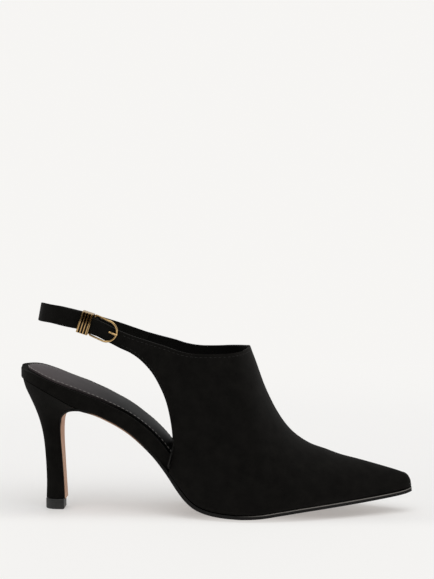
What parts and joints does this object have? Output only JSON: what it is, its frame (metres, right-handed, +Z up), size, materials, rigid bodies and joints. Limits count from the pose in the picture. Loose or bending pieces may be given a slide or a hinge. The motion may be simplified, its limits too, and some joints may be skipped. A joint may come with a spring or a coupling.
{
  "type": "slingback pump",
  "caption": "Slingback pump with a high pointed vamp, open heel, buckled heel strap and a slender covered heel.",
  "frame": {"origin": "centre of the shoe's footprint, on the floor that it stands on", "axes": "+X from heel to toe, +Y to the inner side of the right foot, +Z up"},
  "size_m": [0.2472, 0.078, 0.1317],
  "materials": {
    "suede": "matte black suede with a fine nap",
    "insole_leather": "matte black suede wrap",
    "lining_leather": "glossy black leather",
    "sole_leather": "smooth tan leather, black edge in the forepart",
    "top_piece": "dark grey, satin",
    "gold": "polished gold plate"
  },
  "bodies": {
    "root": {"upper": "suede", "insole": "insole_leather", "sock_lining": "lining_leather", "outsole": "sole_leather", "heel": "suede", "top_piece": "top_piece", "sling_strap": "suede", "buckle_frame": "gold", "buckle_prong": "gold", "strap_keeper": "gold"}
  },
  "joints": []
}
